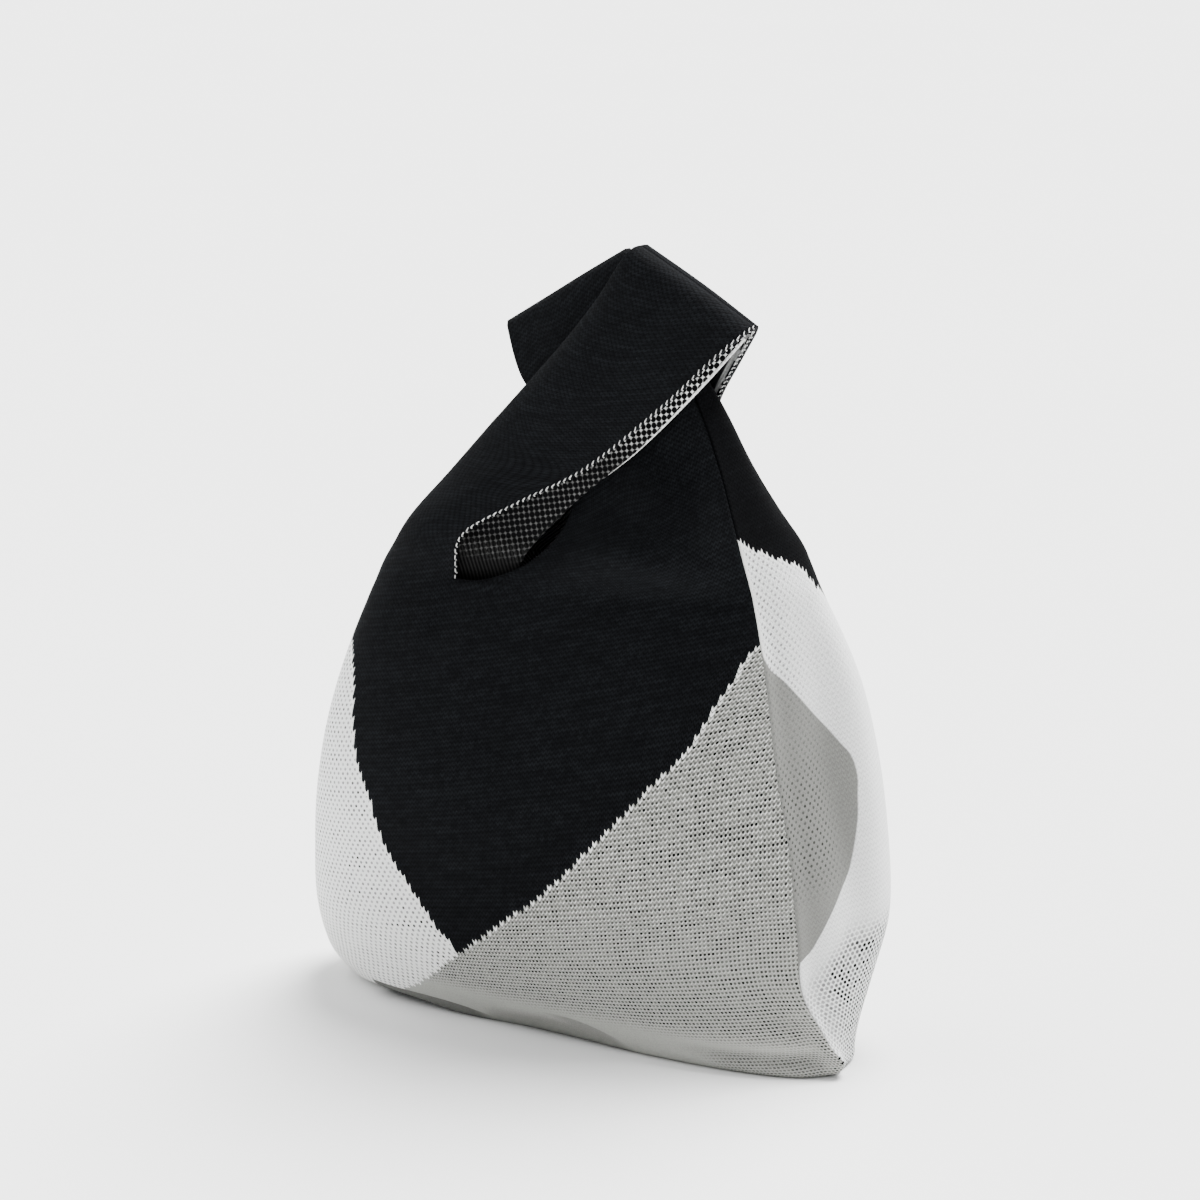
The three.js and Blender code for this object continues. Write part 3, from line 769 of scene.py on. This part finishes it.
HALF_DIAMOND = [
    (0, 0), (29.3, 0.5), (30.5, 3.7), (33.1, 6), (36.1, 8.9), (38, 11), (40.1, 13.4), (42.5, 16.3),
    (45.9, 18.4), (48.9, 19.8), (52.2, 21.1), (56.3, 22), (58.4, 22.5), (61.2, 22.2), (63.3, 21.3),
    (65.5, 19.4), (68.5, 16.9), (75.1, 11.1), (81.8, 5.8), (88.5, 0.6), (92, 0)]

# The upper edges of the painted shade on two tucks along the front's lower edge, as (wale, course) places
UNDERSIDE_EDGE = [
    (0, 0), (33, 0), (36, 11.6), (43, 10.9), (49.5, 10.2), (56.5, 9.1), (62, 7.8), (66, 6.2), (70, 3.5),
    (74, 0), (200, 0)]
ARCH_EDGE = [
    (0, 0), (62, 0), (71, 8), (80, 9.2), (88, 9.4), (95, 8.7), (101, 7.3), (104, 5.2), (106, 3), (109, 0),
    (200, 0)]

BLACK = (0.0076, 0.0085, 0.0099, 1)
BLACK_HOLE = (0.0012, 0.0012, 0.0015, 1)
HOLE = (0.006, 0.006, 0.0055, 1)
WHITE = (0.84, 0.845, 0.84, 1)
GREY = (0.385, 0.387, 0.358, 1)
LOW_GREY = (0.385, 0.387, 0.36, 1)
SIDE_GREY = (0.215, 0.216, 0.203, 1)
# Painted shade: the strip that turns under along the front's lower edge, its own grey cloth darkened where it
# faces down, and the arch's hollow
UNDERSIDE = (0.155, 0.156, 0.147, 1)
ARCH_SHADE = (0.07, 0.07, 0.066, 1)
# The brightest white, for the stitches at the blocks' edges and for the painted highlights
BRIGHT = (0.93, 0.93, 0.91, 1)
LATTICE_TINT = (1.0, 1.01, 1.0)
# The inside: ribs darkened with painted shade, and a light band with a speckled edge
INSIDE_RIB = (0.16, 0.165, 0.17, 1)
INSIDE_DARK = (0.006, 0.006, 0.007, 1)
INSIDE_BAND = (0.26, 0.262, 0.26)
INSIDE_SPECK = (0.004, 0.004, 0.005, 1)
WHITE_YARN_COLOURS = (0.80, 0.80, 0.79, 1), (0.4, 0.4, 0.39, 1)
BLACK_YARN_COLOURS = (0.0045, 0.0045, 0.005, 1), (0.002, 0.002, 0.0025, 1)
FLOOR_TINT = (0.86, 0.862, 0.856)

MATTE = 0.9

# How far a stitch's legs rise from its middle, in courses, as the yarn runs and as its loop shows
LEG_RISE = 0.6
LOOP_RISE = 0.42

# The part of a hole's radius that is fully dark
HOLE_CORE = 0.58

# Seeds of the chances that differ from stitch to stitch
STITCH_SEED, EVERY_SEED, HALF_SEED, STAGGERED_SEED, FAINT_SEED = 0.0, 1.0, 2.0, 3.0, 4.0
LATTICE_SEED, DASH_SEED, SPECK_SEED, FINE_SEED = 5.0, 6.0, 8.0, 9.0


class Jacquard(Shader):
    """What the knit's blocks share: a V-shaped stitch for each wale and course, and its loops."""

    def __init__(self, name):
        super().__init__(name)
        self.wale, self.course, self.to_seam = self.stitch_counts()
        across = self.wale.fraction() - 0.5
        leg = abs(across) * 2.0
        yarn = self.course - leg * LEG_RISE
        wale_number, course_number = self.wale.floor(), yarn.floor()
        self.middle_wale, self.middle_course = wale_number + 0.5, course_number + 0.5
        self.ridge = (yarn.fraction() * math.pi).sine()
        self.belly = (leg * math.pi).sine()
        self.chance = self.white_noise(wale_number, course_number, STITCH_SEED)
        streak = self.noise(1.0, 1.0, self.vector(self.wale / 13.0, self.course / 1.6, 0.0))
        patch = self.noise(45.0, 1.0)
        self.streak = streak.ramp(0.35, 0.68, 0.68, 1.0) * patch.ramp(0.3, 0.7, 0.85, 1.0)
        self.lit = self.ridge * (self.chance * 0.6 + 0.6) * self.streak

        # The lower rows are shorter
        self.row = self.course + (self.course - 30.0).at_most(0.0) * 0.25
        loop = self.row - leg * LOOP_RISE
        self.from_loop = loop.from_middle() * 2.0

        # Painted highlights: bright dashes on the loops' right legs, between the rows of holes
        right_leg = self.belly * across.ramp(-0.2, 0.1, 0.25, 1.0)
        dash = self.from_loop.fall(0.05, 0.62) * right_leg
        dash_chance = self.white_noise(wale_number, loop.floor(), DASH_SEED)
        self.shine = dash.rise(0.12, 0.55) * dash_chance.ramp(0.1, 0.8, 0.3, 1.0)


def holes(s, wale, course, pitches, stagger, radius, seed):
    """Round holes in rows, each row shifted by the stagger, each hole as dark as chance has it.
    The pitches are a number of wales and one of courses, and the radius is in millimetres."""
    wale_pitch, course_pitch = pitches
    row = (course / course_pitch).rounded()
    across = wale / wale_pitch - (row * stagger + 0.5)
    column = across.rounded()
    dx = (across - column) * (WALE * wale_pitch)
    dy = (course - row * course_pitch) * COURSE
    reach = (dx * dx + dy * dy).root()
    dark = s.white_noise(column, row, seed) * 0.4 + 0.7
    return reach.fall(HOLE_CORE * radius, radius) * dark


def grey_block(s):
    """The grey: a hole at every stitch, with more holes and painted highlight dashes towards its top."""
    upper = s.course.rise(10.0, 38.0)
    every_stitch = holes(s, s.wale, s.row, (1.0, 1.0), 0.0, 0.64, EVERY_SEED)
    half_way = holes(s, s.wale + 0.5, s.row - LOOP_RISE, (1.0, 1.0), 0.0, 0.56, HALF_SEED)
    half_way = half_way * (upper * 0.62 + 0.08)
    between = s.from_loop.rise(0.5, 0.9) * (upper * 0.55)

    # Where the holes show: not on the smooth band along the bottom, but below it and by the seam
    from_band = s.course + (s.wale * 0.15 - 26.8)
    below_band = s.course.fall(-2.0, 2.5) * s.wale.rise(124.0, 136.0) * 0.85
    by_seam = s.to_seam.fall(2.5, 7.0) * s.course.fall(34.0, 46.0)
    shown = from_band.rise(-4.5, 1.0).at_least(below_band.at_least(by_seam))

    dark = every_stitch.at_least(half_way).at_least(between) * shown * (s.streak * 0.4 + 0.6)
    shine = s.shine * shown * (upper * 0.8 + 0.2)
    cloth = s.mix(upper * shown, LOW_GREY, GREY)
    return s.mix(dark, s.mix(shine, cloth, BRIGHT), HOLE)


def front_white_block(s):
    """The front's white: faint holes, which fade towards the bottom, and painted light that brightens it
    towards the bottom, with a few highlight dashes.
    """
    faint = holes(s, s.wale, s.course, (1.8, 1.0), 0.5, 0.66, FAINT_SEED) * s.streak
    dark = faint.at_least(s.ridge.fall(0.0, 0.5) * 0.06) * s.course.rise(4.0, 14.0)
    # Painted light: highlight dashes, and the white brightened towards the bottom
    shine = (s.shine * 0.3).at_least(s.course.fall(12.0, 45.0))
    return s.mix(dark, s.mix(shine, WHITE, BRIGHT), HOLE)


def back_white_block(s, fine):
    """The back's white: strong holes and painted highlight dashes low on the side, and finer holes high up.
    """
    staggered = holes(s, s.wale, s.course, (1.3, 0.92), 0.5, 0.79, STAGGERED_SEED)
    border = s.wale.at_most(14.0) * 0.7 + 21.0
    low = (s.course - border).fall(-3.0, 5.0) * s.wale.ramp(1.0, 12.0, 0.55, 1.0)
    high = s.to_seam.ramp(3.0, 22.0, 0.75, 0.3) * s.course.rise(62.0, 84.0)
    rows = s.ridge.fall(0.0, 0.6) * (low * 0.1 + 0.3)
    dark = (staggered * low).at_least(fine * high).at_least(rows)
    return s.mix(dark, s.mix(s.shine * low, WHITE, BRIGHT), HOLE)


def blocks(s, white_edge_places, white, lit):
    """The black, grey and white blocks with stepped edges, and where the white one is."""
    white_edge = s.middle_course.line(white_edge_places, TOP_COURSE, TOP_WALE)
    grey_edge = s.middle_course.line(GREY_EDGE, TOP_COURSE, TOP_WALE)
    is_white = s.middle_wale < white_edge
    is_grey = s.middle_wale > grey_edge
    nearest = abs(s.middle_wale - white_edge).at_most(abs(s.middle_wale - grey_edge))
    tip = nearest.fall(0.5, 1.3) * s.ridge.rise(0.15, 0.65) * (s.chance * 0.4 + 0.65)
    grey = s.mix(tip * s.course.rise(22.0, 27.0), grey_block(s), BRIGHT)
    colour = s.mix(is_grey, s.mix(lit, BLACK_HOLE, BLACK), grey)
    return s.mix(is_white, colour, s.mix(tip, white, BRIGHT)), is_white


def front_tucks(s, colour):
    """The darker tone, painted shade, of the arch's hollow and of the strip that turns under along the lower
    edge; the strip's own cloth is grey.
    """
    under = s.wale.line(ARCH_EDGE, TOP_WALE, TOP_COURSE) - s.course
    sharp = under.rise(-0.1, 0.6) * s.wale.ramp(88.0, 99.0, 0.0, 0.42)
    soft = under.rise(-0.4, 4.2) * s.wale.ramp(64.0, 84.0, 0.25, 0.42)
    shade = sharp.at_least(soft) * s.wale.fall(104.0, 109.0)
    under = s.wale.line(UNDERSIDE_EDGE, TOP_WALE, TOP_COURSE) - s.course
    turned = under.rise(-0.1, 0.2) * s.wale.fall(64.0, 72.0)
    return s.mix(turned, s.mix(shade, colour, ARCH_SHADE), UNDERSIDE)


def side_diamond(s, colour, is_white, fine):
    """The back's bright rim along the right seam, and the grey half diamond beside it."""
    rim = s.to_seam.fall(0.9, 1.6) * (is_white * s.course.rise(66.0, 74.0))
    from_diamond = s.wale - s.course.line(HALF_DIAMOND, TOP_COURSE, TOP_WALE)
    shown = s.wale.ramp(10.0, 18.0, 1.0, 0.12) * s.course.rise(36.0, 48.0)
    shown = shown * s.course.ramp(58.0, 74.0, 0.75, 0.3)
    dark = (fine * shown).at_least(s.ridge.fall(0.0, 0.6) * 0.22)
    grey = s.mix(dark, SIDE_GREY, HOLE)
    return s.mix(from_diamond.fall(-0.25, 0.25), s.mix(rim, colour, BRIGHT), grey)


def finished_knit(s, colour):
    fuzz = s.noise(2600.0, 2.0)
    colour = s.scale(colour, fuzz.ramp(0.3, 0.7, 0.9, 1.06))
    relief = s.ridge * (s.belly * 0.5 + 0.5) + fuzz * 0.2
    return s.output(colour, MATTE, 0.04, relief, bump=0.4, distance=0.0004)


def front_knit(name):
    """The front's jacquard, black between its white and grey blocks."""
    s = Jacquard(name)
    colour, _ = blocks(s, WHITE_EDGE, front_white_block(s), s.lit)
    return finished_knit(s, front_tucks(s, colour))


def back_knit(name):
    """The back's jacquard, with the half diamond on the bag's right side, and painted shade on the black by
    the right seam.
    """
    s = Jacquard(name)
    # Painted shade: the black's lit ridges dim towards the right seam, so the black on the bag's side is
    # darker and smoother
    lit = s.lit * s.to_seam.ramp(24.0, 60.0, 0.35, 1.0)
    fine = holes(s, s.wale, s.course, (1.5, 1.0), 0.5, 0.56, FINE_SEED)
    colour, is_white = blocks(s, BACK_WHITE_EDGE, back_white_block(s, fine), lit)
    return finished_knit(s, side_diamond(s, colour, is_white, fine))


# The reverse's dots: wales and courses from one to the next
DOT_WALES = 1.37
DOT_COURSES = 1.19


def reverse_knit(name):
    """The knit's reverse: black stitches as round dots in a light lattice, deep in shade low down."""
    s = Shader(name)
    wale, course, _ = s.stitch_counts()
    height = s.height()
    across = (wale / DOT_WALES).fraction() - 0.5
    up = (course / DOT_COURSES).fraction() - 0.5
    fuzz = s.noise(1800.0, 3.0)
    edge = (across * across + up * up).root() + (fuzz * 0.12 - 0.06)
    lattice = edge.rise(0.44, 0.54) * height.rise(0.1535, 0.1585)
    light = height.ramp(0.150, 0.185, 0.035, 0.085).at_least(height.ramp(0.184, 0.216, 0.03, 0.9))
    chance = s.white_noise(wale.floor(), course.floor(), LATTICE_SEED)
    light = light * (chance * 0.5 + 0.75)
    ribs = (wale / 0.95).from_middle().rise(0.1, 0.4) * height.ramp(0.1575, 0.1635, 0.010, 0.0)
    cloth = s.scale(LATTICE_TINT, lattice * light + ribs)
    colour = s.mix(lattice.at_least(ribs > 0.0), BLACK_HOLE, cloth)
    return s.output(colour, MATTE, 0.06, lattice + fuzz * 0.3, bump=0.5, distance=0.0004)


# The distance to the right seam that the cloth's free edge has on the left strap's back half
BACK_EDGE_PLACE = 124.6


def inside_knit(name):
    """The cloth's inside: ribs darkened with painted shade, and a light band with a speckled edge along the
    left strap's top, with painted shade beside the band.
    """
    s = Shader(name)
    wale, course, to_seam = s.stitch_counts()
    rib = wale.from_middle().rise(0.12, 0.4)
    fuzz = s.noise(1500.0, 3.0)
    from_edge = to_seam - BACK_EDGE_PLACE
    top = s.height().rise(0.200, 0.203)
    # Painted shade: the ribs are kept dark, as the bag's inside lies in shade
    ribs = s.mix(rib, INSIDE_RIB, INSIDE_DARK)
    # Painted shade in the gap by the turned-in layer's free edge, beside the light band
    ribs = s.mix(from_edge.fall(14.0, 18.0) * top, ribs, INSIDE_DARK)
    speck = s.white_noise((course * 0.9).floor(), (from_edge * 0.6).floor(), SPECK_SEED)
    speckled = from_edge.fall(2.2, 3.4) * (speck < 0.55)
    band = s.mix(speckled, s.scale(INSIDE_BAND, fuzz.ramp(0.3, 0.7, 0.7, 1.1)), INSIDE_SPECK)
    colour = s.mix(from_edge.fall(5.4, 6.4) * top, ribs, band)
    return s.output(colour, MATTE, 0.05, rib + fuzz * 0.4, bump=0.4, distance=0.0003)


def twisted_yarn(name, colour, hollow):
    s = Shader(name)
    twist = s.noise(1400.0, 3.0)
    colour = s.mix(twist.rise(0.35, 0.65), hollow, colour)
    return s.output(colour, 0.85, 0.08, twist, bump=0.5, distance=0.0003)


def pale_floor(name):
    s = Shader(name)
    cloudy = s.noise(2.0, 2.0).ramp(0.3, 0.7, 0.985, 1.0)
    return s.output(s.scale(FLOOR_TINT, cloudy), MATTE, 0.05)


# Camera, floor and light

CAMERA_AROUND = 33.0
CAMERA_ABOVE = 14.0
CAMERA_DISTANCE = 1.15
LOOKED_AT = (-27.54, 43.97, 126.0)
FLOOR_SIZE = 12.0
SKY = {"Color": (0.97, 0.985, 1.0, 1), "Strength": 0.55}

# Each light's name, the direction that it comes from, its angle and its strength
SUNS = (("key", (-1.0, -0.25, 1.1), 50.0, 2.4), ("back", (0.02, 0.72, 1.3), 40.0, 13.4))


def aim(thing, direction):
    """Turns a camera or a light, which stands off in a direction, back to what it faces."""
    thing.rotation_mode = "QUATERNION"
    thing.rotation_quaternion = (-direction).to_track_quat("-Z", "Y")


def make_stage():
    around, above = math.radians(CAMERA_AROUND), math.radians(CAMERA_ABOVE)
    back = Vector((math.sin(around) * math.cos(above), -math.cos(around) * math.cos(above), math.sin(above)))
    view = bpy.data.cameras.new("camera")
    view.lens = 100.0
    view.sensor_width = 36.0
    view.clip_start = 0.01
    view.clip_end = 100.0
    camera = put_in_scene("camera", view)
    camera.location = Vector(LOOKED_AT) * MM + back * CAMERA_DISTANCE
    aim(camera, back)
    bpy.context.scene.camera = camera
    bm = bmesh.new()
    bmesh.ops.create_grid(bm, x_segments=2, y_segments=2, size=FLOOR_SIZE)
    floor = piece_of(bm, "floor", pale_floor("pale_floor"))
    world = bpy.data.worlds.new("studio")
    world.use_nodes = True
    for name, value in SKY.items():
        world.node_tree.nodes["Background"].inputs[name].default_value = value
    bpy.context.scene.world = world
    for name, place, angle, strength in SUNS:
        light = bpy.data.lights.new(name, "SUN")
        light.angle = math.radians(angle)
        light.energy = strength
        lamp = put_in_scene(name, light)
        lamp.location = place
        aim(lamp, Vector(place))


# The turned-in layer of the left strap, and its white selvedge

FACING_ROWS = 91
FACING_COLUMNS = 17
FACING_LEAN = math.radians(12)
FACING_THICKNESS = 1.6

# Where the selvedge starts and ends along the free edge's points, how many places it has, and how
# it swells from a thin start
SELVEDGE_PART = (3.5, 6, 60)
SELVEDGE_RADIUS = 0.62
SELVEDGE_THIN = 0.1
SELVEDGE_SWELLS_OVER = 36


def facing_line(points, along):
    return line_through(np.array(points) + np.array([0, 0, SHOULDER_HEIGHT]), along)


def facing_piece():
    """The left strap's turned-in layer, between its free edge and its hidden edge."""
    along = np.linspace(0, len(FACING_EDGE) - 1, FACING_ROWS)
    edge = facing_line(FACING_EDGE, along)
    hidden = facing_line(FACING_HIDDEN, along)
    across = np.linspace(0, 1, FACING_COLUMNS)[None, :, None]
    places = edge[:, None, :] * (1 - across) + hidden[:, None, :] * across
    x, z = places[..., 0], places[..., 2]
    wale = (x * math.cos(FACING_LEAN) + z * math.sin(FACING_LEAN)) / WALE
    course = (z * math.cos(FACING_LEAN) - x * math.sin(FACING_LEAN)) / COURSE
    stitches = np.stack([wale, course, 0 * wale], -1)
    bm = start_cloth()
    add_grid(bm, places[:, ::-1], stitches[:, ::-1], lambda row: 0)
    return finish_cloth(bm, "left_strap_facing_knit", (REVERSE,), FACING_THICKNESS, offset=0.0)


def selvedge_yarn(name, material):
    """A round yarn along the turned-in layer's free edge."""
    points = in_metres(facing_line(FACING_EDGE, np.linspace(*SELVEDGE_PART)))
    curve = bpy.data.curves.new(name, "CURVE")
    curve.dimensions = "3D"
    curve.bevel_depth = SELVEDGE_RADIUS * MM
    curve.bevel_resolution = 2
    curve.use_fill_caps = True
    spline = curve.splines.new("POLY")
    spline.points.add(len(points) - 1)
    for index, (point, place) in enumerate(zip(spline.points, points)):
        point.co = (*place, 1)
        point.radius = min(1.0, SELVEDGE_THIN + index / SELVEDGE_SWELLS_OVER)
    maker = put_in_scene(name + "_path", curve)
    mesh = settled_mesh(maker, name)
    bpy.data.objects.remove(maker)
    bpy.data.curves.remove(curve)
    mesh.materials.clear()
    return finish_piece(mesh, name, material)


# Stitches along the edges, with sizes in millimetres and angles in degrees

# A tick's slant grows to its full angle along the first part of its row, chance turns it and changes
# its length, and a small loop stands near its end, towards the cloth's edge
TICK_SEED = 7
TICK_SPACING = 2.35
TICK_LENGTH = 2.1
TICK_THICKNESS = 0.36
TICK_SLANT_GROWS = 60
TICK_TURN = 9
TICK_LENGTH_SHARES = (0.85, 1.08)
TICK_LOOP_SHARE = 0.45
TICK_LOOP_OUT = 0.45
TICK_LOOP_RADIUS = 0.24

CORNER_STITCH_HEIGHTS = (6.0, 7.7)
CORNER_STITCH_SHIFT = (-0.2, -0.2, 0)
CORNER_STITCH_SLANT = -50
CORNER_STITCH_LENGTH = 1.6
CORNER_STITCH_THICKNESS = 0.7


def add_stitch(bm, place, turn, length, thickness):
    """Adds one stitch, a long bead along its own X."""
    size = Matrix.Diagonal((length / 2 * MM, thickness / 2 * MM, thickness / 2 * MM, 1))
    at = Matrix.Translation(place) @ turn @ size
    bmesh.ops.create_uvsphere(bm, u_segments=8, v_segments=6, radius=1.0, matrix=at)


def tick_row(name, path, inward, slant, start, end, inset, sink, material):
    """A row of short slanted stitches on a cloth's edge, each with a small loop at its end. The path
    and the inward directions have a place for each row of the cloth."""
    chance = np.random.default_rng(TICK_SEED)
    length = run_length(path)
    bm = bmesh.new()
    for at in np.arange(start, min(end, length[-1]), TICK_SPACING):
        k = min(int(np.searchsorted(length, at)), len(path) - 1)
        centre = np.array([np.interp(at, length, path[:, axis]) for axis in range(3)])
        along = Vector(path[k] - path[k - 1]).normalized()
        side = Vector(inward[k]).normalized()
        out = along.cross(side).normalized()
        lean = slant * min(1.0, at / TICK_SLANT_GROWS) + chance.uniform(-TICK_TURN, TICK_TURN)
        tick = TICK_LENGTH * chance.uniform(*TICK_LENGTH_SHARES)
        lie = along.to_track_quat("X", "Z").to_matrix().to_4x4()
        turn = Matrix.Rotation(math.radians(lean), 4, out) @ lie
        place = Vector(in_metres(centre)) + (side * inset - out * sink) * MM
        add_stitch(bm, place, turn, tick, TICK_THICKNESS)
        loop = place + turn @ Vector((-tick * TICK_LOOP_SHARE * MM, 0, 0)) - side * TICK_LOOP_OUT * MM
        bmesh.ops.create_uvsphere(bm, u_segments=6, v_segments=5, radius=TICK_LOOP_RADIUS * MM,
                                  matrix=Matrix.Translation(loop))
    return piece_of(bm, name, material)


def corner_stitches(name, seam, material):
    """Two small stitches over the cloth's edge at the lower end of a side seam."""
    bm = bmesh.new()
    turn = Matrix.Rotation(math.radians(CORNER_STITCH_SLANT), 4, "Y")
    for height in CORNER_STITCH_HEIGHTS:
        nearest = seam[int(np.argmin(np.abs(seam[:, 2] - height)))]
        place = Vector(in_metres(nearest)) + Vector(CORNER_STITCH_SHIFT) * MM
        add_stitch(bm, place, turn, CORNER_STITCH_LENGTH, CORNER_STITCH_THICKNESS)
    return piece_of(bm, name, material)


# The bag

make_stage()

KNIT_FRONT = front_knit("jacquard_front")
KNIT_BACK = back_knit("jacquard_back")
REVERSE = reverse_knit("knit_reverse")
INSIDE = inside_knit("knit_inside")
WHITE_YARN = twisted_yarn("white_yarn", *WHITE_YARN_COLOURS)
BLACK_YARN = twisted_yarn("black_yarn", *BLACK_YARN_COLOURS)

front_grids = side_grids(True)
back_grids = side_grids(False)

for half, grids, knit in (("front", front_grids, KNIT_FRONT), ("back", back_grids, KNIT_BACK)):
    panel, strap, base, loop = make_side(half, grids, (knit, INSIDE))
    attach(panel, "bag")
    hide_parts(f"{half}_panel")
    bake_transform(strap)
    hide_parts("left_strap_root", f"left_strap_{half}")
    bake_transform(base)
    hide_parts("right_strap_root")
    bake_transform(loop)
    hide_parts(f"right_strap_{half}")

facing = facing_piece()
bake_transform(facing)
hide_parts("left_strap_facing")

left_front = front_grids["left"][0]
ticks = tick_row("left_strap_edge_stitches", left_front[:, -1], left_front[:, -3] - left_front[:, -1],
                 slant=26, start=0.5, end=400, inset=0.1, sink=0.1, material=WHITE_YARN)
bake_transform(ticks)

# From the strap's top downwards
left_back = back_grids["left"][0][::-1]
back_ticks = tick_row("left_strap_back_edge_stitches", left_back[:, 0], left_back[:, 2] - left_back[:, 0],
                      slant=20, start=1.5, end=62, inset=0.4, sink=2.2, material=WHITE_YARN)
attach(back_ticks, "left_loop")

selvedge = selvedge_yarn("left_strap_facing_selvedge", WHITE_YARN)
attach(selvedge, "left_loop")

corner = corner_stitches("right_corner_stitches", front_grids["panel"][0][:, -1], BLACK_YARN)
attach(corner, "bag")

for yarn, nodes in (
        (WHITE_YARN, ("left_side_seam", "right_side_seam", "bottom_seam", "left_corner_tack")),
        (BLACK_YARN, ("left_strap_seam", "right_strap_seam", "right_corner_tack"))):
    for node in nodes:
        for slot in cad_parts[node].material_slots:
            slot.material = yarn
